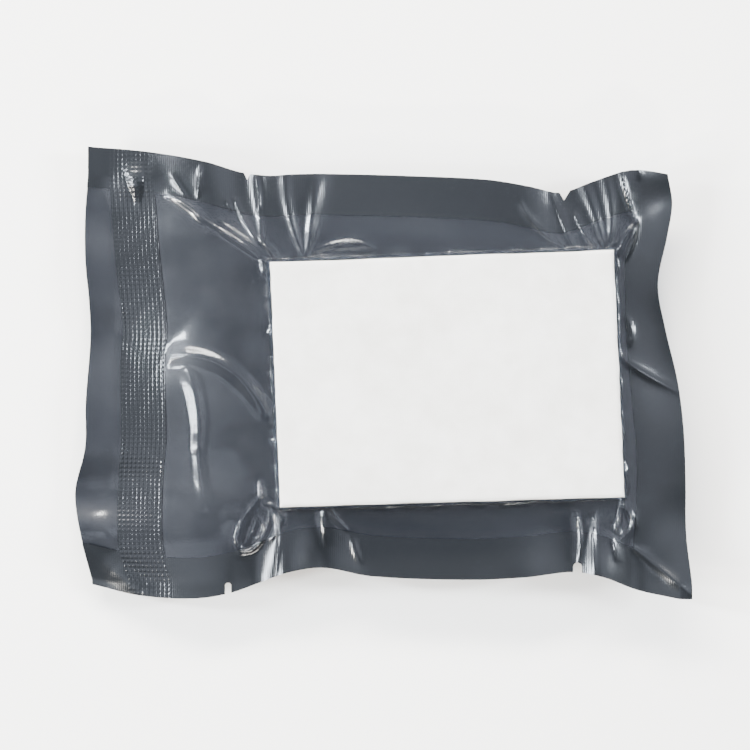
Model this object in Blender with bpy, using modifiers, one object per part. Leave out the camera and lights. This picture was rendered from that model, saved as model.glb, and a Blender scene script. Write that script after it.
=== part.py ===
"""Compressed gauze bandage in a vacuum pouch, lying on its back.

The bandage is one long strip of gauze, folded to and fro into a flat block. A clear film lies
over it and an opaque one under it, sealed to each other all round, and the vacuum draws both
against the block. Metres, +Z up, +X along the pouch. The origin is under the middle of the
block, on the surface that the pouch lies on.
"""

from collections import namedtuple
from math import cos, hypot, pi, radians, sin

import bpy
from mathutils import Vector


def table(columns, *rows):
    """Rows whose columns are read by name."""
    row_type = namedtuple("Row", columns)
    return [row_type(*row) for row in rows]


# The block of folded gauze
PAD_LENGTH = 0.075  # the strip's width
PAD_WIDTH = 0.054  # from turn to turn
PAD_HEIGHT = 0.018
PAD_TURN = radians(2.0)  # how far the block lies askew in the pouch
PAD_LAYERS = 12
LAYER_SLIT = 0.0002  # between one layer of the strip and the next
PAD_ROUNDING = 0.0008  # how far the vacuum presses in the block's edges
ROUNDED_ZONE = 0.0040  # how wide a border of the block it presses down

# The two films
FILM = 0.0006
CLEARANCE = 0.0003  # between the films where they are sealed, and round the block
TOP_MARGIN = 0.0004  # how far each film runs on past the block's edge before it turns

# The pouch in plan, from its open-mouthed end at -X to its far end
TAIL = 0.0085  # unsealed lips outside the end seal
END_SEAL = 0.0100  # knurled seal, made last
SLACK = 0.0235  # empty pouch between the end seal and the block
FAR_GAP = 0.0035  # between the block and the far seal
FAR_SEAL = 0.0100
SIDE_GAP = 0.0090  # between the block and each side seal
SIDE_SEAL = 0.0090
WALL_RUN = 0.0030  # how far out each film reaches while it comes down the block's side

# What the vacuum does to the flat pouch
FLARE = 0.0060  # how far the outline strays from straight edges
WAVE = 0.0034  # height of the ruffles along the edges
MOUTH_DROOP = 0.0050  # how far the end at -X hangs below the middle of the block's height
FAR_DROOP = 0.0012
LIP_GAPE = 0.0008  # how far the unsealed lips stand apart
CREASE = 0.0022  # height of the folds in the slack film
CREASE_WIDTH = 0.0040

# Where everything comes to rest
PAD_BASE = FILM + CLEARANCE
PAD_TOP = PAD_BASE + PAD_HEIGHT
SEAM_HEIGHT = PAD_BASE + PAD_HEIGHT / 2
LEFT = -(PAD_LENGTH / 2 + SLACK + END_SEAL + TAIL)
RIGHT = PAD_LENGTH / 2 + FAR_GAP + FAR_SEAL
REAR = PAD_WIDTH / 2 + SIDE_GAP + SIDE_SEAL
FRONT = -REAR
POUCH_LENGTH = RIGHT - LEFT
POUCH_WIDTH = REAR - FRONT

# Each edge of the pouch. along is a share of the edge, from its -X or -Y end. out is how far the
# outline stands out there, a share of FLARE, and up the height of its ruffle, a share of WAVE.
REAR_EDGE = table(
    "along out up",
    (0.00, 0.98, 0.20),
    (0.10, 0.83, 0.00),
    (0.20, 0.46, 0.55),
    (0.26, 0.08, -0.50),
    (0.31, -0.07, 0.15),
    (0.35, -0.02, 0.70),
    (0.42, 0.00, -0.10),
    (0.55, -0.07, -0.20),
    (0.68, -0.22, 0.10),
    (0.75, -0.48, 0.50),
    (0.80, -0.68, -0.60),
    (0.86, -0.24, 0.30),
    (0.92, 0.13, 1.00),
    (1.00, -0.05, -0.20),
)
FRONT_EDGE = table(
    "along out up",
    (0.00, 0.10, -0.40),
    (0.09, 0.51, 0.20),
    (0.18, 0.59, 0.35),
    (0.24, 0.39, 0.10),
    (0.29, 0.02, -0.60),
    (0.34, -0.40, 0.60),
    (0.40, -0.55, -0.45),
    (0.48, -0.25, 0.00),
    (0.64, -0.12, 0.05),
    (0.74, -0.22, 0.45),
    (0.82, -0.40, -0.10),
    (0.87, -0.24, 0.70),
    (0.93, 0.27, -0.45),
    (1.00, 0.58, 0.45),
)
MOUTH_EDGE = table(
    "along out up",
    (0.00, -0.23, -0.25),
    (0.11, 0.17, 0.60),
    (0.22, 0.42, -0.80),
    (0.33, 0.05, 0.40),
    (0.44, 0.04, 0.45),
    (0.60, -0.14, -0.90),
    (0.69, -0.11, 0.10),
    (0.79, 0.04, 0.50),
    (0.90, 0.04, -0.30),
    (1.00, -0.14, 0.30),
)
FAR_EDGE = table(
    "along out up",
    (0.00, 0.45, 0.45),
    (0.12, 0.28, -0.30),
    (0.25, 0.25, 0.10),
    (0.38, 0.17, 0.20),
    (0.50, -0.05, -0.70),
    (0.62, -0.49, 0.20),
    (0.73, -0.78, 0.90),
    (0.85, -0.42, 0.00),
    (0.93, -0.23, -0.60),
    (1.00, -0.42, 0.20),
)
# The end seal runs across the pouch: along from -Y, out a share of FLARE towards the mouth.
END_SEAL_LINE = table(
    "along out",
    (0.00, -0.48),
    (0.08, 0.10),
    (0.16, 0.27),
    (0.26, 0.12),
    (0.36, -0.08),
    (0.50, -0.22),
    (0.62, -0.19),
    (0.76, 0.08),
    (0.90, 0.21),
    (1.00, 0.20),
)

# Folds, each from a start past a turn to an end: x a share of POUCH_LENGTH from the -X end, y a
# share of POUCH_WIDTH from the -Y side, wide a share of CREASE_WIDTH and high a share of CREASE.
FRONT_FOLDS = table(
    "start_x start_y turn_x turn_y end_x end_y wide high",
    (0.14, 0.56, 0.26, 0.62, 0.31, 0.37, 1.0, 0.9),  # arch across the slack
    (0.16, 0.53, 0.21, 0.42, 0.20, 0.25, 0.8, 0.7),  # down from the arch
    (0.15, 0.93, 0.22, 0.89, 0.31, 0.79, 0.8, 0.8),  # to the block's corner at -X +Y
    (0.24, 0.13, 0.27, 0.15, 0.32, 0.21, 0.9, 1.0),  # ear at -X -Y
    (0.91, 0.15, 0.93, 0.18, 0.91, 0.23, 0.7, 0.8),  # ear at +X -Y
    (0.93, 0.89, 0.92, 0.86, 0.90, 0.80, 0.8, 1.0),  # ear at +X +Y
)
BACK_FOLDS = table(
    "start_x start_y turn_x turn_y end_x end_y wide high",
    (0.14, 0.62, 0.22, 0.66, 0.29, 0.52, 1.0, 0.7),
    (0.20, 0.90, 0.25, 0.87, 0.30, 0.80, 0.9, 0.9),
    (0.20, 0.12, 0.26, 0.14, 0.30, 0.20, 0.9, 0.9),
    (0.93, 0.12, 0.93, 0.16, 0.91, 0.22, 0.8, 0.7),
    (0.94, 0.88, 0.93, 0.85, 0.91, 0.80, 0.8, 0.7),
)
FOLD_SAMPLES = 14  # points along each fold that its height is measured from

# Tear notches, punched through both films. side is 1 at +Y and -1 at -Y, along a share of
# POUCH_LENGTH from the -X end; width and depth are in metres, and 3 sides make a V.
NOTCHES = table(
    "name side along width depth sides",
    ("small_v", 1, 0.271, 0.0020, 0.0018, 3),
    ("wide_v", 1, 0.806, 0.0036, 0.0026, 3),
    ("slot", -1, 0.239, 0.0022, 0.0040, 16),
    ("round", -1, 0.827, 0.0024, 0.0024, 16),
)

# How many faces each film has across each span of the pouch
MOUTH_SPANS = (3, 4, 10, 4)  # lips, end seal, slack, wall
PAD_SPANS = (8, 6)
FAR_SPANS = (4, 4)  # wall, gap and seal
SIDE_SPANS = (7, 4)  # seal and gap, wall
TURN_STEPS = 5  # faces round each turn of the gauze strip
PLAN_PASSES = 4  # the films' lines along and across depend on each other, and settle in these


def clear_scene():
    for obj in list(bpy.data.objects):
        bpy.data.objects.remove(obj, do_unlink=True)


def make_collection(name):
    collection = bpy.data.collections.new(name)
    bpy.context.scene.collection.children.link(collection)
    return collection


def make_material(name, colour, roughness, alpha=1.0):
    material = bpy.data.materials.new(name)
    material.use_nodes = True
    shader = material.node_tree.nodes["Principled BSDF"]
    shader.inputs["Base Color"].default_value = (*colour, 1.0)
    shader.inputs["Roughness"].default_value = roughness
    shader.inputs["Metallic"].default_value = 0.0
    shader.inputs["Alpha"].default_value = alpha
    return material


def take(obj, name, collection):
    """Names a new object and moves it to its collection."""
    obj.name = obj.data.name = name
    for old in list(obj.users_collection):
        old.objects.unlink(obj)
    collection.objects.link(obj)
    return obj


def add_grid(columns, rows):
    """A grid with that many vertices each way, and each vertex with its column and row."""
    bpy.ops.mesh.primitive_grid_add(x_subdivisions=columns - 1, y_subdivisions=rows - 1, size=2)
    grid = bpy.context.object
    places = [
        (vertex, round((vertex.co.x + 1) / 2 * (columns - 1)), round((vertex.co.y + 1) / 2 * (rows - 1)))
        for vertex in grid.data.vertices
    ]
    return grid, places


def add_wall(obj, thickness, offset):
    wall = obj.modifiers.new("wall", "SOLIDIFY")
    wall.thickness = thickness
    wall.offset = offset
    wall.use_even_offset = True


def fade(share):
    """1 at 0, falling smoothly to 0 at 1."""
    share = min(max(share, 0.0), 1.0)
    return 1 - share * share * (3 - 2 * share)


def curve_through(points, share):
    """The height at share of a smooth curve through points, which are in order."""
    share = min(max(share, points[0][0]), points[-1][0])
    i = next(n for n in range(len(points) - 1) if share <= points[n + 1][0])
    before, start, end, after = (points[min(max(i + n, 0), len(points) - 1)] for n in (-1, 0, 1, 2))
    span = end[0] - start[0]
    t = (share - start[0]) / span
    leave = (end[1] - before[1]) / (end[0] - before[0]) * span
    arrive = (after[1] - start[1]) / (after[0] - start[0]) * span
    return (
        start[1] * (2 * t**3 - 3 * t**2 + 1)
        + leave * (t**3 - 2 * t**2 + t)
        + end[1] * (3 * t**2 - 2 * t**3)
        + arrive * (t**3 - t**2)
    )


def bulge(edge, along):
    return FLARE * curve_through([(row.along, row.out) for row in edge], along)


def ruffle(edge, along):
    return WAVE * curve_through([(row.along, row.up) for row in edge], along)


def share_x(x):
    return (x - LEFT) / POUCH_LENGTH


def share_y(y):
    return (y - FRONT) / POUCH_WIDTH


def block_line(offset, other):
    """Where a line along the askew block, offset from its middle, crosses the place other."""
    return (offset + sin(PAD_TURN) * other) / cos(PAD_TURN)


def columns_at(y):
    """The X of each line across the pouch: mouth, end seal, wall's foot and top, and so on."""
    left = LEFT - bulge(MOUTH_EDGE, share_y(y))
    seal = LEFT + TAIL - bulge(END_SEAL_LINE, share_y(y))
    right = RIGHT + bulge(FAR_EDGE, share_y(y))
    reach = PAD_LENGTH / 2 + TOP_MARGIN
    block = [block_line(x, -y) for x in (-reach - WALL_RUN, -reach, reach, reach + WALL_RUN)]
    return [left, seal, seal + END_SEAL, *block, right]


def rows_at(x):
    """The Y of each line along the pouch: front edge, wall's foot and top, and so on."""
    front = FRONT - bulge(FRONT_EDGE, share_x(x))
    rear = REAR + bulge(REAR_EDGE, share_x(x))
    reach = PAD_WIDTH / 2 + TOP_MARGIN
    block = [block_line(y, x) for y in (-reach - WALL_RUN, -reach, reach, reach + WALL_RUN)]
    return [front, *block, rear]


def steps_over(spans):
    """For each vertex along a row of faces, the span it is in and its share of that span."""
    steps = [(i, n / count) for i, count in enumerate(spans) for n in range(count)]
    return steps + [(len(spans) - 1, 1.0)]


def between(lines, step):
    span, share = step
    return lines[span] + (lines[span + 1] - lines[span]) * share


def wall_share(x, y):
    """1 over the block, falling to 0 at the foot of the wall round it."""
    across = abs(x * cos(PAD_TURN) + y * sin(PAD_TURN)) - PAD_LENGTH / 2 - TOP_MARGIN
    along = abs(y * cos(PAD_TURN) - x * sin(PAD_TURN)) - PAD_WIDTH / 2 - TOP_MARGIN
    out = min(hypot(max(across, 0.0), max(along, 0.0)) / WALL_RUN, 1.0)
    return (1 - out) ** 3 * (1 + 3 * out)


def seam_height(x, y):
    """The height at which the two films meet."""
    columns, rows = columns_at(y), rows_at(x)
    from_mouth = (x - columns[0]) / (columns[3] - columns[0])
    from_far = (columns[-1] - x) / (columns[-1] - columns[-2])
    from_front = (y - rows[0]) / (rows[1] - rows[0])
    from_rear = (rows[-1] - y) / (rows[-1] - rows[-2])
    height = SEAM_HEIGHT
    height += fade(from_mouth) * (ruffle(MOUTH_EDGE, share_y(y)) - MOUTH_DROOP)
    height += fade(from_far) * (ruffle(FAR_EDGE, share_y(y)) - FAR_DROOP)
    height += fade(from_front) * ruffle(FRONT_EDGE, share_x(x))
    height += fade(from_rear) * ruffle(REAR_EDGE, share_x(x))
    return max(height, FILM + CLEARANCE / 2)


def fold_height(folds, x, y):
    """How far the folds in a table lift the film at a point in plan."""
    lift = 0.0
    for fold in folds:
        start = Vector((LEFT + fold.start_x * POUCH_LENGTH, FRONT + fold.start_y * POUCH_WIDTH))
        turn = Vector((LEFT + fold.turn_x * POUCH_LENGTH, FRONT + fold.turn_y * POUCH_WIDTH))
        end = Vector((LEFT + fold.end_x * POUCH_LENGTH, FRONT + fold.end_y * POUCH_WIDTH))
        for n in range(FOLD_SAMPLES + 1):
            t = n / FOLD_SAMPLES
            ridge = start * (1 - t) ** 2 + turn * 2 * t * (1 - t) + end * t**2
            near = (Vector((x, y)) - ridge).length / (fold.wide * CREASE_WIDTH)
            lift = max(lift, CREASE * fold.high * fade(near) * sin(pi * (0.15 + 0.7 * t)))
    return lift


def lip_gape(x, y):
    """How far each lip stands off outside the end seal."""
    columns = columns_at(y)
    return LIP_GAPE / 2 * fade((x - columns[0]) / (columns[1] - columns[0]))


def front_height(x, y):
    """The inner side of the film over the block."""
    wall = wall_share(x, y)
    seam = seam_height(x, y) + CLEARANCE / 2 + lip_gape(x, y)
    seam += fold_height(FRONT_FOLDS, x, y) * (1 - wall)
    return seam + (PAD_TOP + CLEARANCE - seam) * wall


def back_height(x, y):
    """The inner side of the film under the block."""
    wall = wall_share(x, y)
    seam = seam_height(x, y) - CLEARANCE / 2 - lip_gape(x, y)
    seam -= fold_height(BACK_FOLDS, x, y) * (1 - wall)
    seam = max(seam, FILM)
    return seam + (FILM - seam) * wall


def make_film(name, height, outward, cutters, collection):
    """A film whose inner side is at height, with its wall on its outer side."""
    column_steps = steps_over((*MOUTH_SPANS, PAD_SPANS[0], *FAR_SPANS))
    row_steps = steps_over((*SIDE_SPANS, PAD_SPANS[1], *reversed(SIDE_SPANS)))
    film, places = add_grid(len(column_steps), len(row_steps))
    for vertex, column, row in places:
        x, y = 0.0, 0.0
        for _ in range(PLAN_PASSES):
            x = between(columns_at(y), column_steps[column])
            y = between(rows_at(x), row_steps[row])
        vertex.co = (x, y, height(x, y))
    film.data.shade_smooth()
    add_wall(film, FILM, outward)
    cut = film.modifiers.new("tear_notches", "BOOLEAN")
    cut.operand_type = "COLLECTION"
    cut.collection = cutters
    return take(film, name, collection)


def make_notch(notch, collection):
    """A cutter that stands through both films at the pouch's edge, and past the edge."""
    x = LEFT + notch.along * POUCH_LENGTH
    edge = rows_at(x)[-1 if notch.side > 0 else 0]
    bpy.ops.mesh.primitive_cylinder_add(vertices=notch.sides, radius=1, depth=2)
    cutter = bpy.context.object
    radius = notch.width / 2
    for vertex in cutter.data.vertices:
        across, out, up = vertex.co
        if notch.sides == 3:
            out = (1 - out) / 1.5 * 2 * notch.depth
            across = across / sin(pi / 3) * notch.width
        else:
            out = radius - out * radius + (notch.depth if out < 0.01 else 0)
            across = across * radius
        vertex.co = (x + across, edge + notch.side * (out - notch.depth), (up + 1) * SEAM_HEIGHT)
    if notch.side > 0:
        cutter.data.flip_normals()
    cutter.hide_render = True
    cutter.display_type = "WIRE"
    return take(cutter, f"cutter_{notch.name}", collection)


def strip_path():
    """The middle line of the folded strip, as Y and Z, from its end below to its end on top."""
    pitch = (PAD_HEIGHT + LAYER_SLIT) / PAD_LAYERS
    thickness = pitch - LAYER_SLIT
    turn_middle = PAD_WIDTH / 2 - pitch / 2 - thickness / 2
    path = []
    for layer in range(PAD_LAYERS):
        z = PAD_BASE + thickness / 2 + layer * pitch
        side = 1 if layer % 2 == 0 else -1
        first = PAD_WIDTH / 2 if layer == 0 else turn_middle
        last = PAD_WIDTH / 2 if layer == PAD_LAYERS - 1 else turn_middle
        path += [(-side * first, z), (-side * (turn_middle - ROUNDED_ZONE), z)]
        path += [(side * (turn_middle - ROUNDED_ZONE), z), (side * last, z)]
        if layer < PAD_LAYERS - 1:
            for n in range(1, TURN_STEPS):
                angle = pi * n / TURN_STEPS
                path.append((side * (turn_middle + pitch / 2 * sin(angle)), z + pitch / 2 * (1 - cos(angle))))
    return path, thickness


def pressed(x, y, z):
    """A point of the block, moved as the vacuum moves it: the block's edges are pressed in."""
    high = (z - SEAM_HEIGHT) / (PAD_HEIGHT / 2)
    edge = min(PAD_LENGTH / 2 - abs(x), PAD_WIDTH / 2 - abs(y))
    z -= PAD_ROUNDING * high * fade(edge / ROUNDED_ZONE)
    x *= 1 - PAD_ROUNDING * abs(high) ** 4 / (PAD_LENGTH / 2)
    y *= 1 - PAD_ROUNDING * abs(high) ** 4 / (PAD_WIDTH / 2)
    return x, y, z


def make_pad(collection):
    path, thickness = strip_path()
    stations = [-PAD_LENGTH / 2, ROUNDED_ZONE - PAD_LENGTH / 2, PAD_LENGTH / 2 - ROUNDED_ZONE, PAD_LENGTH / 2]
    pad, places = add_grid(len(stations), len(path))
    for vertex, column, row in places:
        vertex.co = pressed(stations[column], *path[row])
    pad.data.shade_smooth()
    pad.rotation_euler.z = PAD_TURN
    add_wall(pad, thickness, 0.0)
    return take(pad, "gauze_pad", collection)


clear_scene()
parts = make_collection("gauze_bandage_in_pouch")
cutters = make_collection("cutters")
for notch in NOTCHES:
    make_notch(notch, cutters)

pad = make_pad(parts)
pad.data.materials.append(make_material("bleached_gauze", (0.80, 0.80, 0.78), 0.95))
front_film = make_film("front_film", front_height, 1.0, cutters, parts)
front_film.data.materials.append(make_material("clear_film", (0.55, 0.57, 0.60), 0.15, 0.3))
back_film = make_film("back_film", back_height, -1.0, cutters, parts)
back_film.data.materials.append(make_material("slate_film", (0.045, 0.050, 0.060), 0.30))
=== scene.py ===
"""Compressed gauze bandage in a vacuum pouch: the looks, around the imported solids."""

from math import cos, pi, radians, sin

import bmesh
import bpy
import numpy as np
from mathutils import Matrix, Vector


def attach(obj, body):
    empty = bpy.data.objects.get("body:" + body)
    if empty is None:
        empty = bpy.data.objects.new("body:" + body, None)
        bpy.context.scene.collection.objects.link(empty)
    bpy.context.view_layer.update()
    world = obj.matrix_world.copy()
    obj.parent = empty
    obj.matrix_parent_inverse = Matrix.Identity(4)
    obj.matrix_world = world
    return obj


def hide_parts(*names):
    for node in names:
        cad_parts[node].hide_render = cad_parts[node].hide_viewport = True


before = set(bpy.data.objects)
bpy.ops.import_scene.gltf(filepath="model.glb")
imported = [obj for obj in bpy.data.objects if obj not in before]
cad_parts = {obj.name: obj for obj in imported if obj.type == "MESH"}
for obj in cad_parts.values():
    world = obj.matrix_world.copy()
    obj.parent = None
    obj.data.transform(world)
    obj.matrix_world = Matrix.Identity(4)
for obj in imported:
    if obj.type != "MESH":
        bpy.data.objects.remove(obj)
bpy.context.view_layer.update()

bpy.ops.object.select_all(action="DESELECT")
MM = 0.001

# The camera looks straight down on the pouch from arm's length. One pixel of the photograph is
# 0.22 mm in the plane of the seams, and the block lies right of the picture's middle.
PICTURE_WIDTH = 750 * 0.22 * MM
PICTURE_MIDDLE = (-15.95 * MM, 0.77 * MM)
SEAM_HEIGHT = 9.9 * MM
CAMERA_RISE = 0.60
SENSOR_WIDTH = 36.0

camera_data = bpy.data.cameras.new("camera")
camera_data.sensor_width = SENSOR_WIDTH
camera_data.lens = SENSOR_WIDTH * CAMERA_RISE / PICTURE_WIDTH
camera = bpy.data.objects.new("camera", camera_data)
camera.location = (*PICTURE_MIDDLE, SEAM_HEIGHT + CAMERA_RISE)
bpy.context.collection.objects.link(camera)
bpy.context.scene.camera = camera

# The surface that the pouch lies on, and plain studio light: a pale sky and softboxes, which
# the film shows as bright streaks along its folds.
FLOOR_DROP = 0.05 * MM
SKY_COLOUR = "#e6e9f2"
SKY_FRONT, SKY_REAR = 0.22, 1.90
SKY_PATCHES = (  # broad soft light: its direction, the cosine of its reach and its strength
    ((-0.36, -0.27, 0.89), 0.945, 2.00),
    ((-0.36, 0.20, 0.91), 0.93, -0.75),
    ((0.42, 0.06, 0.90), 0.93, 1.50),
)


def linear(hex_colour):
    """A colour written as sRGB hex, as the linear values that a shader takes."""
    channels = [int(hex_colour[i : i + 2], 16) / 255 for i in (1, 3, 5)]
    return (*(c / 12.92 if c <= 0.04045 else ((c + 0.055) / 1.055) ** 2.4 for c in channels), 1.0)


def add_node(tree, kind, settings=None, inputs=None):
    """Adds a shader node; inputs holds a value or an output to link for each socket named."""
    node = tree.nodes.new(kind)
    for name, value in (settings or {}).items():
        setattr(node, name, value)
    for name, value in (inputs or {}).items():
        if isinstance(value, bpy.types.NodeSocket):
            tree.links.new(value, node.inputs[name])
        else:
            node.inputs[name].default_value = value
    return node


def new_material(name):
    material = bpy.data.materials.new(name)
    material.use_nodes = True
    material.node_tree.nodes.clear()
    return material, material.node_tree


def finish_material(tree, shader):
    add_node(tree, "ShaderNodeOutputMaterial", inputs={"Surface": shader.outputs[0]})


bpy.ops.mesh.primitive_plane_add(size=6, location=(0, 0, -FLOOR_DROP))
floor = bpy.context.object
floor.name = "floor"
matt_white, tree = new_material("matt_white_board")
finish_material(
    tree,
    add_node(tree, "ShaderNodeBsdfPrincipled", inputs={"Base Color": linear("#f4f4f4"), "Roughness": 0.9}),
)
floor.data.materials.append(matt_white)

world = bpy.data.worlds.new("studio")
world.use_nodes = True
bpy.context.scene.world = world
tree = world.node_tree
direction = add_node(tree, "ShaderNodeTexCoord").outputs["Generated"]
rearward = add_node(tree, "ShaderNodeSeparateXYZ", inputs={"Vector": direction}).outputs["Y"]
brightness = add_node(
    tree,
    "ShaderNodeMapRange",
    {"interpolation_type": "SMOOTHSTEP"},
    {"Value": rearward, "From Min": -0.35, "From Max": 0.45, "To Min": SKY_FRONT, "To Max": SKY_REAR},
).outputs["Result"]
for place, reach, strength in SKY_PATCHES:
    facing = add_node(
        tree, "ShaderNodeVectorMath", {"operation": "DOT_PRODUCT"}, {0: direction, 1: place}
    ).outputs["Value"]
    patch = add_node(
        tree,
        "ShaderNodeMapRange",
        {"interpolation_type": "SMOOTHSTEP"},
        {"Value": facing, "From Min": reach, "From Max": 0.995, "To Max": strength},
    ).outputs["Result"]
    brightness = add_node(
        tree, "ShaderNodeMath", {"operation": "ADD"}, {0: brightness, 1: patch}
    ).outputs[0]
sky = tree.nodes["Background"]
sky.inputs["Color"].default_value = linear(SKY_COLOUR)
tree.links.new(brightness, sky.inputs["Strength"])

for name, place, size, watts, tint in (
    ("window_left", (-0.70, 0.16, 0.52), (0.08, 0.32), 13.0, "#eef3f5"),
    ("window_near", (-0.72, -0.125, 0.46), (0.12, 0.32), 13.0, "#eef3f5"),
    ("window_right", (0.72, 0.12, 0.50), (0.08, 0.30), 13.0, "#eef3f5"),
    ("lamp_rear", (-0.16, 0.70, 0.50), (0.80, 0.14), 31.0, "#fff9ee"),
    ("lamp_left", (-0.66, -0.28, 0.40), (0.05, 0.10), 6.0, "#fff6e6"),
    ("lamp_near", (0.10, -0.70, 0.44), (0.12, 0.05), 6.0, "#fff6e6"),
):
    light_data = bpy.data.lights.new(name, "AREA")
    light_data.shape = "RECTANGLE"
    light_data.size, light_data.size_y = size
    light_data.energy = watts
    light_data.color = linear(tint)[:3]
    light = bpy.data.objects.new(name, light_data)
    light.location = place
    light.rotation_euler = Vector(place).to_track_quat("Z", "Y").to_euler()
    bpy.context.collection.objects.link(light)

# The gauze block: one strip of bleached cotton gauze, folded to and fro into about 68 layers and
# pressed flat. Its turns and cut edges show as fine lines round the sides, and its edges are soft.
PAD_LENGTH, PAD_WIDTH, PAD_HEIGHT = 75.0 * MM, 54.0 * MM, 18.0 * MM
PAD_CORNERS = np.array([(-36.5, -27.9), (38.2, -25.7), (35.8, 27.9), (-38.7, 25.2)]) * MM
PAD_TURN = radians(2.0)
PAD_BASE = 0.9 * MM
PAD_LAYERS = 68
EDGE_RADIUS = 0.8 * MM
LAYER_GROOVE = 0.07 * MM
PAD_SWELL = 0.12 * MM  # how unevenly the layers lie


def steps_across(length, border, fine):
    """Places across a length, close together along a border at each end."""
    near = [border * (n / fine) ** 1.6 for n in range(fine)]
    middle = list(np.linspace(border, length - border, int((length - 2 * border) / (1.3 * MM)) + 1))
    return np.array(near + middle + [length - n for n in reversed(near)]) - length / 2


def shaped_grid(name, xs, ys):
    """A flat grid with its columns at xs and its rows at ys."""
    bpy.ops.mesh.primitive_grid_add(x_subdivisions=len(xs) - 1, y_subdivisions=len(ys) - 1, size=2)
    grid = bpy.context.object
    grid.name = grid.data.name = name
    for vertex in grid.data.vertices:
        column = round((vertex.co.x + 1) / 2 * (len(xs) - 1))
        row = round((vertex.co.y + 1) / 2 * (len(ys) - 1))
        vertex.co = (xs[column], ys[row], 0)
    return grid


def places(mesh):
    """All the mesh's vertices as one array."""
    flat = np.empty(len(mesh.vertices) * 3)
    mesh.vertices.foreach_get("co", flat)
    return flat.reshape(-1, 3)


def move_to(mesh, at):
    mesh.vertices.foreach_set("co", at.ravel())
    mesh.update()


def ripple(x, y, wavelength, seed):
    """A gentle unevenness between -1 and 1, from a few crossing waves."""
    total = 0.0
    for n in range(4):
        angle = 0.9 * seed + 1.1 * n
        length = wavelength * (1 + 0.35 * n)
        total = total + np.sin((x * cos(angle) + y * sin(angle)) * 2 * pi / length + 2.3 * n + seed)
    return total / 4


def edge_drop(inside, radius):
    """How far a rounded edge falls away at a distance inside it."""
    short = np.clip(1 - inside / radius, 0, 1)
    return radius * (1 - np.sqrt(1 - short**2))


pad = shaped_grid(
    "gauze_block",
    steps_across(PAD_LENGTH, 2.0 * MM, 6),
    steps_across(PAD_WIDTH, 2.0 * MM, 6),
)
thicken = pad.modifiers.new("thickness", "SOLIDIFY")
thicken.thickness = PAD_HEIGHT
thicken.offset = 1.0
bpy.ops.object.modifier_apply(modifier=thicken.name)

layers = bmesh.new()
layers.from_mesh(pad.data)
upright = [edge for edge in layers.edges if abs(edge.verts[0].co.z - edge.verts[1].co.z) > PAD_HEIGHT / 2]
bmesh.ops.subdivide_edges(layers, edges=upright, cuts=2 * PAD_LAYERS - 1, use_grid_fill=True)
layers.to_mesh(pad.data)
layers.free()

at = places(pad.data)
x, y, z = at.T.copy()
depth = z - z.min()
level = np.round(depth / PAD_HEIGHT * 2 * PAD_LAYERS)
on_side = (np.abs(x) > PAD_LENGTH / 2 - 0.01 * MM) | (np.abs(y) > PAD_WIDTH / 2 - 0.01 * MM)
from_cap = np.minimum(depth, PAD_HEIGHT - depth)
groove = np.where((level % 2 == 0) & (from_cap > EDGE_RADIUS), LAYER_GROOVE, 0.0)
pull = np.where(on_side, edge_drop(from_cap, EDGE_RADIUS) + groove, 0.0)
pull += np.where(on_side, PAD_SWELL * ripple(x + 3 * y, depth * 4, 9 * MM, 2.0), 0.0)
inside = np.minimum(PAD_LENGTH / 2 - np.abs(x), PAD_WIDTH / 2 - np.abs(y))
drop = np.where(from_cap < 0.01 * MM, edge_drop(inside, EDGE_RADIUS), 0.0)
high = depth / PAD_HEIGHT * 2 - 1
shrink_x = 1 - pull / (PAD_LENGTH / 2)
shrink_y = 1 - pull / (PAD_WIDTH / 2)
top_swell = PAD_SWELL * ripple(x, y, 22 * MM, 1.0) * np.clip(inside / (4 * MM), 0, 1)
right = (x * shrink_x / PAD_LENGTH + 0.5)[:, None]
rear = (y * shrink_y / PAD_WIDTH + 0.5)[:, None]
front_line = PAD_CORNERS[0] * (1 - right) + PAD_CORNERS[1] * right
rear_line = PAD_CORNERS[3] * (1 - right) + PAD_CORNERS[2] * right
z = PAD_BASE + depth - np.sign(high) * drop + np.where(high > 0.99, top_swell, 0.0)
z += np.where(on_side, 0.10 * MM * ripple(x, y, 30 * MM, 3.0) * (1 - high**2), 0.0)
move_to(pad.data, np.column_stack((front_line * (1 - rear) + rear_line * rear, z)))
pad.data.shade_smooth()

# Bleached cotton gauze: matt off-white, with threads about 0.5 mm apart that the pressing has
# nearly ironed out, and faint cloudy patches where more layers meet.
THREAD_PITCH = 0.5
CLOUD_SIZE = 5.0
LAYER_SHADE = 0.9
gauze, tree = new_material("bleached_cotton_gauze")
coordinates = add_node(tree, "ShaderNodeTexCoord").outputs["Object"]
turned = add_node(
    tree, "ShaderNodeMapping", inputs={"Vector": coordinates, "Rotation": (0, 0, -PAD_TURN)}
).outputs["Vector"]
weave = []
for direction in ("X", "Y"):
    weave.append(
        add_node(
            tree,
            "ShaderNodeTexWave",
            {"bands_direction": direction, "wave_profile": "SIN"},
            {
                "Vector": turned,
                "Scale": 2 * pi / (20 * THREAD_PITCH * MM),
                "Distortion": 1.2,
                "Detail": 2.0,
                "Detail Scale": 0.6,
            },
        ).outputs["Fac"]
    )
threads = add_node(
    tree, "ShaderNodeMath", {"operation": "MULTIPLY"}, {0: weave[0], 1: weave[1]}
).outputs[0]
clouds = add_node(
    tree,
    "ShaderNodeTexNoise",
    inputs={"Vector": turned, "Scale": 1 / (CLOUD_SIZE * MM), "Detail": 5.0, "Roughness": 0.6},
).outputs["Fac"]
flattened = add_node(
    tree, "ShaderNodeMapping", inputs={"Vector": turned, "Scale": (0.05, 0.05, 1)}
).outputs["Vector"]
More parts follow.
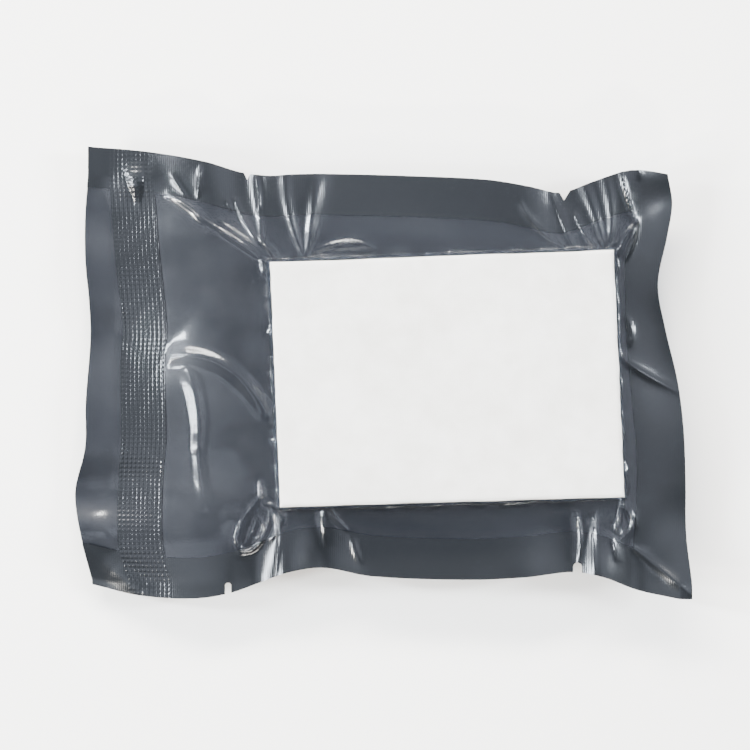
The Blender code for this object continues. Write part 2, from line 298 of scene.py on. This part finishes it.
layering = add_node(
    tree,
    "ShaderNodeTexNoise",
    inputs={"Vector": flattened, "Scale": 1 / (LAYER_SHADE * MM), "Detail": 3.0, "Roughness": 0.7},
).outputs["Fac"]
mottle = add_node(
    tree, "ShaderNodeMix", {"data_type": "FLOAT"}, {"Factor": 0.55, "A": clouds, "B": layering}
).outputs["Result"]
shade = add_node(
    tree,
    "ShaderNodeValToRGB",
    inputs={"Fac": mottle},
)
shade.color_ramp.elements[0].position, shade.color_ramp.elements[1].position = 0.36, 0.60
shade.color_ramp.elements[0].color = linear("#d6d5d2")
shade.color_ramp.elements[1].color = linear("#e4e4e3")
bump = add_node(
    tree, "ShaderNodeBump", inputs={"Height": threads, "Strength": 0.25, "Distance": 0.05 * MM}
).outputs["Normal"]
finish_material(
    tree,
    add_node(
        tree,
        "ShaderNodeBsdfPrincipled",
        inputs={
            "Base Color": shade.outputs["Color"],
            "Roughness": 0.95,
            "Specular IOR Level": 0.2,
            "Sheen Weight": 0.15,
            "Normal": bump,
        },
    ),
)
pad.data.materials.append(gauze)
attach(pad, "root")
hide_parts("gauze_pad")

# The pouch: two films of heat-sealing laminate, welded to each other round the rim. The far end
# and the sides were sealed when the pouch was made, and the knurled seal across the mouth after
# the block went in. The vacuum pulls the films in round the block and ruffles the rim.
FILM = 0.10 * MM
FILM_GAP = 0.10 * MM  # between the films where they are welded or cling
PAD_CLEARANCE = 0.12 * MM
AIR_LEFT = 0.25 * MM  # how far they stand apart where they are neither
AIR_RUN = 4.5 * MM
SEAL_GRIP = 1.1 * MM  # how near the knurled seal the clear film's own folds die away
TAIL, END_SEAL, SLACK = 8.5 * MM, 10.0 * MM, 23.5 * MM
FAR_GAP, FAR_SEAL = 3.5 * MM, 10.0 * MM
SIDE_GAP, SIDE_SEAL = 9.0 * MM, 9.0 * MM
WALL_RUN = 1.1 * MM
TOP_MARGIN = 0.1 * MM
PLEATS = 0.4  # how unevenly the wall's foot runs, as a share of it
FLARE, WAVE = 6.0 * MM, 2.6 * MM
MOUTH_DROOP, FAR_DROOP, LIP_GAPE = 5.0 * MM, 1.2 * MM, 0.4 * MM
LEFT = -(PAD_LENGTH / 2 + SLACK + END_SEAL + TAIL)
RIGHT = PAD_LENGTH / 2 + FAR_GAP + FAR_SEAL
REAR = PAD_WIDTH / 2 + SIDE_GAP + SIDE_SEAL
FRONT = -REAR
PAD_TOP = PAD_BASE + PAD_HEIGHT

# Each edge: how far along it, from its -X or -Y end; how far the outline stands out there, a
# share of FLARE; and how high it ruffles, a share of WAVE.
REAR_EDGE = (
    (0.00, 1.06, 0.20), (0.10, 0.86, 0.15), (0.20, 0.46, 0.30), (0.26, 0.08, -0.50),
    (0.31, -0.07, 0.10), (0.35, -0.02, 0.30), (0.42, 0.00, -0.10), (0.55, -0.07, -0.20),
    (0.68, -0.22, 0.10), (0.75, -0.48, 0.30), (0.80, -0.68, -0.35), (0.86, -0.24, 0.10),
    (0.92, 0.13, 0.60), (1.00, -0.05, -0.10),
)
FRONT_EDGE = (
    (0.00, 0.10, -0.40), (0.09, 0.51, 0.20), (0.18, 0.59, 0.35), (0.24, 0.39, 0.10),
    (0.29, 0.02, -0.60), (0.34, -0.40, 0.60), (0.40, -0.55, -0.45), (0.48, -0.25, 0.00),
    (0.64, -0.12, 0.05), (0.74, -0.22, 0.45), (0.82, -0.40, -0.10), (0.87, -0.24, 0.70),
    (0.93, 0.27, -0.45), (1.00, 0.58, 0.45),
)
MOUTH_EDGE = (
    (0.00, -0.12, -0.25), (0.11, 0.26, 0.50), (0.22, 0.52, -0.45), (0.33, 0.12, 0.30),
    (0.44, 0.10, 0.25), (0.60, -0.05, -0.35), (0.69, -0.02, 0.10), (0.79, 0.11, 0.30),
    (0.90, 0.13, -0.10), (1.00, 0.00, 0.20),
)
FAR_EDGE = (
    (0.00, 0.45, 0.40), (0.12, 0.28, -0.25), (0.25, 0.25, 0.05), (0.38, 0.17, 0.10),
    (0.50, -0.05, -0.25), (0.62, -0.49, 0.05), (0.73, -0.78, 0.35), (0.85, -0.42, 0.10),
    (0.93, -0.23, -0.25), (1.00, -0.42, 0.10),
)
# The seals' inner lines, along and out in the same way.
END_SEAL_LINE = (
    (0.00, -0.06), (0.07, 0.24), (0.13, 0.33), (0.20, 0.34), (0.27, 0.29), (0.35, 0.18),
    (0.47, 0.22), (0.53, 0.24), (0.62, 0.16), (0.72, 0.28), (0.81, 0.43), (0.94, 0.59), (1.00, 0.68),
)
FAR_SEAL_LINE = (
    (0.00, -0.10), (0.10, 0.00), (0.20, 0.10), (0.30, 0.11), (0.45, -0.07), (0.59, -0.25),
    (0.69, -0.30), (0.79, -0.30), (0.86, 0.08), (0.93, 0.20), (1.00, 0.20),
)


def along_edge(rows, share, column):
    """A smooth curve through one column of a table, read at each share along the edge."""
    mark = np.array([row[0] for row in rows])
    value = np.array([row[column] for row in rows])
    before, after = np.r_[0, : len(rows) - 1], np.r_[1 : len(rows), len(rows) - 1]
    slope = (value[after] - value[before]) / (mark[after] - mark[before])
    share = np.clip(share, 0, 1)
    i = np.clip(np.searchsorted(mark, share) - 1, 0, len(rows) - 2)
    span = mark[i + 1] - mark[i]
    t = (share - mark[i]) / span
    return (
        value[i] * (2 * t**3 - 3 * t**2 + 1)
        + slope[i] * span * (t**3 - 2 * t**2 + t)
        + value[i + 1] * (3 * t**2 - 2 * t**3)
        + slope[i + 1] * span * (t**3 - t**2)
    )


def share_x(x):
    return (x - LEFT) / (RIGHT - LEFT)


def share_y(y):
    return (y - FRONT) / (REAR - FRONT)


def crossing(first, second, place, axis):
    """Where the line through two of the block's corners crosses a place given along one axis."""
    a, b = PAD_CORNERS[first], PAD_CORNERS[second]
    return a[1 - axis] + (place - a[axis]) / (b[axis] - a[axis]) * (b[1 - axis] - a[1 - axis])


def columns_at(y):
    """The X of the mouth, the end seal's lines, the wall's foot and top on each side, and so on."""
    share = share_y(y)
    seal = LEFT + TAIL - FLARE * along_edge(END_SEAL_LINE, share, 1)
    left = crossing(0, 3, y, 1) - TOP_MARGIN
    right = crossing(1, 2, y, 1) + TOP_MARGIN
    far_line = RIGHT - FAR_SEAL + FLARE * along_edge(FAR_SEAL_LINE, share, 1)
    return [
        LEFT - FLARE * along_edge(MOUTH_EDGE, share, 1),
        seal,
        seal + END_SEAL,
        left - WALL_RUN,
        left,
        right,
        right + WALL_RUN,
        np.maximum(far_line, right + WALL_RUN + 0.3 * MM),
        RIGHT + FLARE * along_edge(FAR_EDGE, share, 1),
    ]


def rows_at(x):
    """The Y of the front edge, its seal line, the wall's foot and top on each side, and so on."""
    front = FRONT - FLARE * along_edge(FRONT_EDGE, share_x(x), 1)
    rear = REAR + FLARE * along_edge(REAR_EDGE, share_x(x), 1)
    near = crossing(0, 1, x, 0) - TOP_MARGIN
    beyond = crossing(3, 2, x, 0) + TOP_MARGIN
    return [
        front,
        np.minimum(front + SIDE_SEAL, near - WALL_RUN - 0.3 * MM),
        near - WALL_RUN,
        near,
        beyond,
        beyond + WALL_RUN,
        np.maximum(rear - SIDE_SEAL, beyond + WALL_RUN + 0.3 * MM),
        rear,
    ]


def fade(share):
    """1 at 0, falling smoothly to 0 at 1."""
    share = np.clip(share, 0, 1)
    return 1 - share * share * (3 - 2 * share)


def outside_block(x, y):
    """How far a place in plan lies outside the block's edge."""
    across = np.maximum(crossing(0, 3, y, 1) - x, x - crossing(1, 2, y, 1)) - TOP_MARGIN
    along = np.maximum(crossing(0, 1, x, 0) - y, y - crossing(3, 2, x, 0)) - TOP_MARGIN
    return np.hypot(np.maximum(across, 0), np.maximum(along, 0))


def wall_share(x, y):
    """1 over the block, falling to 0 at the foot of the wall round it."""
    pleated = ripple(x, y, 7 * MM, 4.0) + 0.6 * ripple(x, y, 2.8 * MM, 1.0)
    run = WALL_RUN * np.clip(1 + PLEATS * pleated, 0.6, 1.8)
    out = np.clip(outside_block(x, y) / run, 0, 1)
    return (1 - out) ** 3 * (1 + 3 * out)


def seam_height(x, y):
    """The height at which the two films meet."""
    columns, rows = columns_at(y), rows_at(x)
    from_mouth = (x - columns[0]) / (columns[3] - columns[0])
    from_far = (columns[-1] - x) / (columns[-1] - columns[-3])
    from_front = (y - rows[0]) / (rows[2] - rows[0])
    from_rear = (rows[-1] - y) / (rows[-1] - rows[-3])
    height = SEAM_HEIGHT + fade(from_mouth) * (WAVE * along_edge(MOUTH_EDGE, share_y(y), 2) - MOUTH_DROOP)
    height = height + fade(from_far) * (WAVE * along_edge(FAR_EDGE, share_y(y), 2) - FAR_DROOP)
    height = height + fade(from_front) * WAVE * along_edge(FRONT_EDGE, share_x(x), 2)
    height = height + fade(from_rear) * WAVE * along_edge(REAR_EDGE, share_x(x), 2)
    return np.maximum(height, 0.8 * MM)


# Folds in millimetres from the block's middle, each from a start past a turn to an end: how wide
# to each side of the crest at its start and at its end, how high, and how keen the crest is, from
# 0 for round to 1. The first table holds those that run through the welded rim.
BOTH_FILMS_FOLDS = (
    # a broad swell in the slack
    (-60.0, 9.0, -54.0, 5.0, -46.0, 1.0, 9.0, 12.0, 1.00, 0.0),
    # the rear rim, left to right
    (-70.6, 43.0, -68.8, 43.6, -67.0, 43.4, 3.8, 3.8, 1.20, 0.0),
    (-60.6, 44.5, -59.8, 43.0, -57.6, 40.2, 0.9, 0.8, 0.45, 0.9),
    (-54.2, 46.6, -54.9, 43.0, -54.9, 40.0, 0.7, 0.6, 0.55, 0.8),
    (-48.6, 39.4, -48.2, 38.2, -47.6, 37.2, 0.5, 0.5, 0.30, 0.8),
    (-46.8, 39.4, -45.3, 35.0, -41.6, 29.6, 0.6, 0.8, 0.50, 0.8),
    (-42.2, 45.0, -41.6, 41.0, -41.4, 37.6, 0.9, 0.8, 0.75, 0.7),
    (-41.6, 38.4, -41.0, 34.0, -41.0, 30.0, 0.8, 0.7, 0.30, 0.5),
    (-35.6, 45.4, -36.0, 37.0, -31.7, 26.9, 1.5, 0.6, 0.55, 0.3),
    (-28.2, 45.4, -29.6, 36.0, -30.9, 26.9, 2.4, 0.6, 0.85, 0.2),
    (16.2, 38.4, 18.0, 33.8, 25.0, 28.9, 0.7, 0.8, 0.45, 0.8),
    (23.0, 40.5, 25.0, 35.0, 27.4, 29.4, 0.7, 0.6, 0.50, 0.8),
    (28.2, 36.0, 29.4, 32.0, 33.0, 28.4, 0.6, 0.7, 0.45, 0.8),
    (29.6, 43.4, 32.0, 38.0, 34.7, 28.8, 1.7, 0.6, 0.55, 0.0),
    (34.2, 45.0, 37.2, 36.0, 35.3, 28.8, 1.7, 0.6, 0.60, 0.0),
    (37.7, 46.5, 39.4, 39.0, 41.3, 34.6, 0.8, 0.7, 0.65, 0.8),
    (42.0, 47.0, 42.0, 45.6, 42.1, 44.0, 0.6, 0.5, 0.35, 0.8),
    # the far rim, rear to front
    (39.6, 13.0, 41.2, 10.5, 40.2, 7.4, 0.7, 0.6, 0.45, 0.8),
    (38.2, 5.0, 40.6, 1.8, 51.5, -3.2, 0.6, 1.4, 0.42, 0.7),
    (41.0, -37.4, 45.8, -40.8, 52.8, -47.0, 0.6, 1.5, 0.70, 0.6),
    # the front rim, left to right
    (-74.4, -42.6, -71.6, -45.0, -67.4, -46.6, 2.4, 2.4, 0.70, 0.0),
    (-38.9, -28.2, -36.2, -32.0, -37.8, -43.5, 0.5, 0.5, 0.50, 0.9),
    (-27.4, -28.6, -27.5, -32.0, -26.9, -36.4, 0.5, 0.7, 0.50, 0.8),
    (-26.8, -28.4, -24.8, -30.8, -22.0, -33.4, 0.5, 0.7, 0.50, 0.8),
    (-20.9, -35.4, -20.4, -37.6, -19.4, -40.4, 0.9, 0.9, 0.50, 0.4),
    (28.0, -29.4, 30.0, -33.5, 28.8, -40.4, 0.5, 0.6, 0.48, 0.8),
    (32.3, -29.6, 31.8, -34.5, 32.3, -43.8, 0.6, 0.9, 0.55, 0.8),
    (36.0, -35.2, 36.3, -36.9, 36.9, -39.6, 0.5, 0.5, 0.42, 0.8),
)
CLEAR_FILM_FOLDS = (
    # the slack, rear to front
    (-61.5, 40.4, -56.4, 38.6, -54.0, 34.8, 1.6, 0.9, 0.80, 0.6),
    (-54.8, 35.8, -48.0, 31.4, -39.3, 26.0, 0.9, 0.7, 0.60, 0.9),
    (-50.0, 34.6, -44.8, 30.8, -39.4, 26.9, 0.9, 0.6, 0.55, 0.9),
    (-49.5, 32.0, -45.0, 29.0, -39.6, 25.2, 0.8, 0.6, 0.35, 0.9),
    (-64.0, 4.4, -48.6, 8.2, -40.6, -7.0, 1.9, 1.7, 1.10, 0.0),
    (-57.0, 1.0, -54.4, -5.0, -54.8, -15.0, 1.8, 1.5, 0.75, 0.1),
    (-55.0, -13.4, -55.2, -18.0, -53.4, -28.0, 1.2, 2.0, 0.45, 0.4),
    # the pleats at the block's corners
    (-41.4, 31.0, -39.4, 28.8, -37.4, 25.8, 0.7, 0.6, 0.80, 0.8),
    (-40.6, 26.2, -40.9, 25.0, -40.0, 22.4, 0.8, 0.6, 0.60, 0.7),
    (-41.3, -22.6, -41.0, -24.4, -40.4, -26.0, 0.7, 0.7, 0.60, 0.8),
    (-40.5, -25.2, -49.0, -34.6, -45.0, -38.2, 0.5, 0.5, 0.95, 0.9),
    (-45.2, -38.2, -40.4, -38.4, -39.0, -29.4, 0.5, 0.5, 0.90, 0.9),
    (-40.4, -27.4, -33.6, -28.6, -38.6, -35.2, 0.6, 0.5, 0.70, 0.8),
    (-44.6, -36.4, -42.4, -33.4, -41.8, -30.6, 0.5, 0.4, 0.35, 0.8),
    (-42.8, -36.2, -41.0, -34.6, -40.4, -32.4, 0.4, 0.4, 0.40, 0.8),
    (-41.6, -30.4, -40.2, -32.0, -40.0, -33.6, 0.4, 0.4, 0.30, 0.8),
    (38.8, -28.4, 42.8, -31.6, 38.4, -35.2, 0.5, 0.5, 0.85, 0.9),
    (38.2, -26.4, 38.2, -29.6, 36.8, -33.4, 0.5, 0.5, 0.70, 0.8),
    (36.8, -31.0, 37.4, -33.6, 38.6, -34.8, 0.4, 0.4, 0.45, 0.8),
    (37.2, 27.2, 38.4, 30.8, 41.4, 34.4, 0.5, 0.5, 0.75, 0.8),
    (41.6, 34.2, 41.4, 30.6, 39.4, 26.6, 0.5, 0.6, 0.85, 0.8),
    (40.0, 33.0, 39.0, 30.4, 38.3, 27.4, 0.4, 0.4, 0.45, 0.8),
    (38.8, 32.4, 37.2, 30.2, 35.8, 28.4, 0.5, 0.4, 0.40, 0.8),
    # arcs at the foot of the block's rear side
    (-28.6, 28.2, -22.0, 31.4, -16.6, 28.8, 0.8, 0.8, 0.60, 0.7),
    (-25.0, 28.4, -21.0, 29.4, -19.0, 28.6, 0.6, 0.6, 0.35, 0.8),
)
# Creases in the film where it lies on the block, just inside its rear side.
TOP_FOLDS = (
    (-34.4, 23.2, -33.6, 23.3, -32.6, 23.3, 0.5, 0.5, 0.36, 0.5),
    (-31.2, 23.4, -24.5, 24.1, -19.4, 25.3, 0.5, 0.4, 0.34, 0.5),
    (-18.6, 25.2, -17.4, 25.4, -16.0, 25.5, 0.4, 0.4, 0.30, 0.5),
)
MOUNDS = (  # blisters of air left in the slack, as middle, radius and height
    (-47.4, -30.8, 3.6, 0.60),
    (-75.4, -33.0, 6.0, 0.80),
    (-44.0, 4.0, 7.0, 0.45),
    (-52.0, 20.0, 9.0, 0.35),
    (-47.0, -16.0, 6.0, 0.35),
)


def near_fold(fold, x, y):
    """Which places lie near a fold, how far from its crest in widths, and how far along it."""
    start, turn, end = (np.array(fold[i : i + 2]) * MM for i in (0, 2, 4))
    reach = 3 * max(fold[6:8]) * MM
    t = np.linspace(0, 1, 17)[:, None]
    crest = start * (1 - t) ** 2 + turn * 2 * t * (1 - t) + end * t**2
    low, high = crest.min(axis=0) - reach, crest.max(axis=0) + reach
    near = np.nonzero((x > low[0]) & (x < high[0]) & (y > low[1]) & (y < high[1]))[0]
    x, y = x[near], y[near]
    nearest = np.full(x.shape, np.inf)
    along = np.zeros(x.shape)
    for n in range(len(crest) - 1):
        (ax, ay), (bx, by) = crest[n], crest[n + 1]
        length = np.hypot(bx - ax, by - ay)
        s = np.clip(((x - ax) * (bx - ax) + (y - ay) * (by - ay)) / length**2, 0, 1)
        distance = np.hypot(x - ax - s * (bx - ax), y - ay - s * (by - ay))
        closer = distance < nearest
        nearest[closer] = distance[closer]
        along[closer] = (n + s[closer]) / (len(crest) - 1)
    return near, nearest / ((fold[6] + (fold[7] - fold[6]) * along) * MM), along


def fold_lift(folds, x, y):
    """How far a table of folds lifts the film at each place."""
    lift = np.zeros(x.shape)
    for fold in folds:
        high, keen = fold[8] * MM, fold[9]
        near, widths, along = near_fold(fold, x, y)
        ends = np.sin(pi * (0.08 + 0.84 * along)) ** 0.6
        round_crest = np.exp(-(widths**2))
        keen_crest = np.exp(-1.3 * widths)
        crest = round_crest * (1 - keen) + keen_crest * keen
        lift[near] += high * ends * fade(widths / 3) * crest
    return lift


def mound_lift(x, y):
    lift = np.zeros(x.shape)
    for middle_x, middle_y, radius, high in MOUNDS:
        away = np.hypot(x - middle_x * MM, y - middle_y * MM)
        lift += high * MM * fade(away / (radius * MM))
    return lift


# The knurled seal: 10 pimples across, pressed into both films at once. The other seals carry
# fine ribs that only bend the light.
KNURL_PITCH = END_SEAL / 10
KNURL_DEPTH = 0.12 * MM


def knurl(x, y):
    """The seal's relief, fading out at its lines."""
    columns = columns_at(y)
    in_band = np.clip(np.minimum(x - columns[1], columns[2] - x) / (0.4 * KNURL_PITCH), 0, 1)
    across = 0.5 - 0.5 * np.cos(2 * pi * (x - columns[1]) / KNURL_PITCH)
    along = 0.5 - 0.5 * np.cos(2 * pi * y / KNURL_PITCH)
    return KNURL_DEPTH * in_band * ((across * along) ** 2 - 0.3)


def air_lift(x, y):
    """How far a little air holds the films apart, away from the seals."""
    columns, rows = columns_at(y), rows_at(x)
    free = np.maximum(columns[1] - x, x - columns[2])
    for inside in (columns[-2] - x, y - rows[1], rows[-2] - y):
        free = np.minimum(free, inside)
    return AIR_LEFT * (1 - fade(free / AIR_RUN))


def clear_film_height(x, y):
    """The inner side of the film over the block."""
    wall = wall_share(x, y)
    columns = columns_at(y)
    seam = seam_height(x, y) + fold_lift(BOTH_FILMS_FOLDS, x, y) * (1 - wall) + knurl(x, y)
    gape = LIP_GAPE / 2 * fade((x - columns[0]) / (columns[1] - columns[0]))
    seam = seam + FILM_GAP / 2 + gape
    gripped = fade(np.maximum(columns[1] - x, x - columns[2]) / SEAL_GRIP)
    folds = fold_lift(CLEAR_FILM_FOLDS, x, y) + mound_lift(x, y)
    seam = seam + folds * (1 - wall) * (1 - gripped) + air_lift(x, y)
    return seam + (PAD_TOP + PAD_CLEARANCE - seam) * wall + fold_lift(TOP_FOLDS, x, y)


def back_film_height(x, y):
    """The inner side of the film under the block."""
    wall = wall_share(x, y)
    columns = columns_at(y)
    seam = seam_height(x, y) + fold_lift(BOTH_FILMS_FOLDS, x, y) * (1 - wall) + knurl(x, y)
    gape = LIP_GAPE / 2 * fade((x - columns[0]) / (columns[1] - columns[0]))
    seam = np.maximum(seam - FILM_GAP / 2 - gape, FILM)
    return seam + (FILM - seam) * wall


def refine(mesh, longest_at, passes):
    """Splits the edges of a flat mesh that are longer than longest_at allows at their middle."""
    bm = bmesh.new()
    bm.from_mesh(mesh)
    for _ in range(passes):
        ends = np.array([[(*v.co[:2],) for v in edge.verts] for edge in bm.edges])
        middle = ends.mean(axis=1)
        length = np.hypot(*(ends[:, 0] - ends[:, 1]).T)
        too_long = np.nonzero(length > longest_at(middle[:, 0], middle[:, 1]))[0]
        if not len(too_long):
            break
        bm.edges.ensure_lookup_table()
        bmesh.ops.subdivide_edges(bm, edges=[bm.edges[i] for i in too_long], cuts=1, use_grid_fill=True)
    bm.to_mesh(mesh)
    bm.free()


def between(lines, span, share):
    """The place on each step's line: a share of the way from line number span to the next."""
    lines, each = np.array(np.broadcast_arrays(*lines)), np.arange(len(span))
    return lines[span, each] + (lines[span + 1, each] - lines[span, each]) * share


def pouch_sheet(name, spans_x, spans_y):
    """A flat sheet in the pouch's outline, whose faces follow its seals and the block's edges."""
    steps_x = [(i, n / count) for i, count in enumerate(spans_x) for n in range(count)]
    steps_y = [(i, n / count) for i, count in enumerate(spans_y) for n in range(count)]
    steps_x.append((len(spans_x) - 1, 1.0))
    steps_y.append((len(spans_y) - 1, 1.0))
    sheet = shaped_grid(name, range(len(steps_x)), range(len(steps_y)))
    at = places(sheet.data)
    span_x, part_x = np.array(steps_x)[np.round(at[:, 0]).astype(int)].T
    span_y, part_y = np.array(steps_y)[np.round(at[:, 1]).astype(int)].T
    x, y = np.zeros(len(at)), np.zeros(len(at))
    for _ in range(4):
        x = between(columns_at(y), span_x.astype(int), part_x)
        y = between(rows_at(x), span_y.astype(int), part_y)
    move_to(sheet.data, np.column_stack((x, y, np.zeros(len(at)))))
    return sheet


def is_welded(x, y):
    columns, rows = columns_at(y), rows_at(x)
    in_end_seal = (x > columns[1]) & (x < columns[2])
    return in_end_seal | (x > columns[-2]) | (y < rows[1]) | (y > rows[-2])


def give_film_slots(sheet, free_material, welded_material):
    """The welded rim has a material of its own, where no air lies between the films."""
    sheet.data.materials.clear()
    sheet.data.materials.append(free_material)
    sheet.data.materials.append(welded_material)
    middles = np.array([polygon.center for polygon in sheet.data.polygons])
    welded = is_welded(middles[:, 0], middles[:, 1])
    sheet.data.polygons.foreach_set("material_index", welded.astype(int))


SPANS_X = (7, 10, 18, 6, 44, 6, 3, 9)
SPANS_Y = (9, 7, 6, 54, 6, 7, 9)


def finest_clear(x, y):
    columns = columns_at(y)
    longest = np.full(x.shape, 2.0 * MM)
    for fold in BOTH_FILMS_FOLDS + CLEAR_FILM_FOLDS + TOP_FOLDS:
        near, widths, along = near_fold(fold, x, y)
        wide = near[widths < 2]
        longest[wide] = np.minimum(longest[wide], max(0.65, fold[6] / 6) * MM)
        if fold[9] > 0.5:
            longest[near[widths < 0.8]] = 0.33 * MM
    longest[(x > columns[1]) & (x < columns[2])] = 0.27 * MM
    return longest


# Tear notches, punched through both films at the sides: side, place along X, width and depth in
# millimetres, and the punch's sides, 3 for a V.
NOTCHES = (
    (1, -44.1, 1.4, 1.4, 3),
    (1, 25.7, 2.2, 1.8, 3),
    (-1, -48.3, 1.4, 2.4, 24),
    (-1, 28.6, 2.0, 2.1, 24),
)


def punch_notches(sheet):
    for side, place, width, depth, sides in NOTCHES:
        x, width, depth = place * MM, width * MM, depth * MM
        edge = float(rows_at(np.array([x]))[-1 if side > 0 else 0][0])
        bpy.ops.mesh.primitive_cylinder_add(vertices=sides, radius=1, depth=60 * MM, location=(x, 0, 0))
        punch = bpy.context.object
        for vertex in punch.data.vertices:
            across, out, _ = vertex.co
            if sides == 3:
                out, across = (1 - out) / 1.5 * 2 * depth, across / sin(pi / 3) * width
            else:
                out = width / 2 * (1 - out) + (depth if out < 0.01 else 0)
                across = across * width / 2
            vertex.co.x, vertex.co.y = across, edge + side * (out - depth)
        if side > 0:
            punch.data.flip_normals()
        cut = sheet.modifiers.new("notch", "BOOLEAN")
        cut.solver = "MANIFOLD"
        cut.object = punch
        bpy.context.view_layer.objects.active = sheet
        bpy.ops.object.modifier_apply(modifier=cut.name)
        bpy.data.objects.remove(punch)


def form_film(name, height_at, offset, finest, passes):
    """A film: a flat sheet refined where it folds, moved to its height and given its thickness."""
    film = pouch_sheet(name, SPANS_X, SPANS_Y)
    refine(film.data, finest, passes)
    at = places(film.data)
    at[:, 2] = height_at(at[:, 0], at[:, 1])
    move_to(film.data, at)
    film.data.shade_smooth()
    bpy.context.view_layer.objects.active = film
    wall = film.modifiers.new("film", "SOLIDIFY")
    wall.thickness = FILM
    wall.offset = offset
    bpy.ops.object.modifier_apply(modifier=wall.name)
    punch_notches(film)
    film.data.shade_smooth()
    film.data.set_sharp_from_angle(angle=radians(50))
    return film


# Slate laminate: an opaque grey polyester and polyethylene film, glossy from the casting roll,
# with a little cloudiness in its shine. Where it is welded the jaws leave fine ribs across it.
RIB_PITCH = 0.45
GLOSS_TINT = "#f1f6ff"
slate, tree = new_material("slate_laminate")
coordinates = add_node(tree, "ShaderNodeTexCoord").outputs["Object"]
haze = add_node(
    tree, "ShaderNodeTexNoise", inputs={"Vector": coordinates, "Scale": 1 / (7 * MM), "Detail": 3.0}
).outputs["Fac"]
shine = add_node(
    tree,
    "ShaderNodeMapRange",
    inputs={"Value": haze, "From Min": 0.3, "From Max": 0.7, "To Min": 0.285, "To Max": 0.37},
).outputs["Result"]
finish_material(
    tree,
    add_node(
        tree,
        "ShaderNodeBsdfPrincipled",
        inputs={
            "Base Color": linear("#0f1116"),
            "Roughness": shine,
            "IOR": 1.5,
            "Specular IOR Level": 0.3,
            "Specular Tint": linear(GLOSS_TINT),
        },
    ),
)

welded, tree = new_material("welded_laminate")
coordinates = add_node(tree, "ShaderNodeTexCoord").outputs["Object"]
ribs = add_node(
    tree,
    "ShaderNodeTexWave",
    {"bands_direction": "X", "wave_profile": "SIN"},
    {
        "Vector": coordinates,
        "Scale": 2 * pi / (20 * RIB_PITCH * MM),
        "Distortion": 1.5,
        "Detail": 2.0,
        "Detail Scale": 0.4,
    },
).outputs["Fac"]
bump = add_node(
    tree, "ShaderNodeBump", inputs={"Height": ribs, "Strength": 0.5, "Distance": 0.02 * MM}
).outputs["Normal"]
finish_material(
    tree,
    add_node(
        tree,
        "ShaderNodeBsdfPrincipled",
        inputs={
            "Base Color": linear("#15171a"),
            "Roughness": 0.2,
            "IOR": 1.5,
            "Specular Tint": linear(GLOSS_TINT),
            "Normal": bump,
        },
    ),
)

# Clear laminate: a glossy film, faintly milky, that hides little of what it clings to and greys
# what lies under a gap of air. It turns whiter where it is seen edge on.
clear, tree = new_material("clear_laminate")
coordinates = add_node(tree, "ShaderNodeTexCoord").outputs["Object"]
air = add_node(tree, "ShaderNodeAttribute", {"attribute_name": "air_gap"}).outputs["Fac"]
clouds = add_node(
    tree, "ShaderNodeTexNoise", inputs={"Vector": coordinates, "Scale": 1 / (9 * MM), "Detail": 2.0}
).outputs["Fac"]
milkiness = add_node(
    tree,
    "ShaderNodeMapRange",
    inputs={"Value": clouds, "From Min": 0.3, "From Max": 0.7, "To Min": 0.002, "To Max": 0.006},
).outputs["Result"]
milk = add_node(tree, "ShaderNodeMath", {"operation": "MULTIPLY"}, {0: air, 1: milkiness}).outputs[0]
see_through = add_node(tree, "ShaderNodeBsdfTransparent")
haze = add_node(tree, "ShaderNodeBsdfDiffuse", inputs={"Color": linear("#a8aebb")})
body = add_node(
    tree,
    "ShaderNodeMixShader",
    inputs={"Fac": milk, 1: see_through.outputs[0], 2: haze.outputs[0]},
)
gloss = add_node(
    tree, "ShaderNodeBsdfGlossy", inputs={"Color": linear(GLOSS_TINT), "Roughness": 0.12}
)
edge_on = add_node(tree, "ShaderNodeLayerWeight", inputs={"Blend": 0.5}).outputs["Facing"]
steep = add_node(tree, "ShaderNodeMath", {"operation": "POWER"}, {0: edge_on, 1: 5.0}).outputs[0]
fresnel = add_node(
    tree, "ShaderNodeMath", {"operation": "MULTIPLY_ADD"}, {0: steep, 1: 0.985, 2: 0.015}
).outputs[0]
finish_material(
    tree,
    add_node(
        tree,
        "ShaderNodeMixShader",
        inputs={"Fac": fresnel, 1: body.outputs[0], 2: gloss.outputs[0]},
    ),
)


def finest_back(x, y):
    columns = columns_at(y)
    longest = np.full(x.shape, 2.0 * MM)
    for fold in BOTH_FILMS_FOLDS:
        near, widths, along = near_fold(fold, x, y)
        wide = near[widths < 1.8]
        longest[wide] = np.minimum(longest[wide], max(0.5, fold[6] / 6) * MM)
    longest[(x > columns[1]) & (x < columns[2])] = 0.27 * MM
    return longest


back_film = form_film("back_film_slate", back_film_height, -1.0, finest_back, 3)
give_film_slots(back_film, slate, welded)
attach(back_film, "root")
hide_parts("back_film")

clear_film = form_film("front_film_clear", clear_film_height, 1.0, finest_clear, 3)
give_film_slots(clear_film, clear, welded)
at = places(clear_film.data)
air_gap = clear_film.data.attributes.new("air_gap", "FLOAT", "POINT")
air_gap.data.foreach_set("value", 1 - wall_share(at[:, 0], at[:, 1]))
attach(clear_film, "root")
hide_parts("front_film")
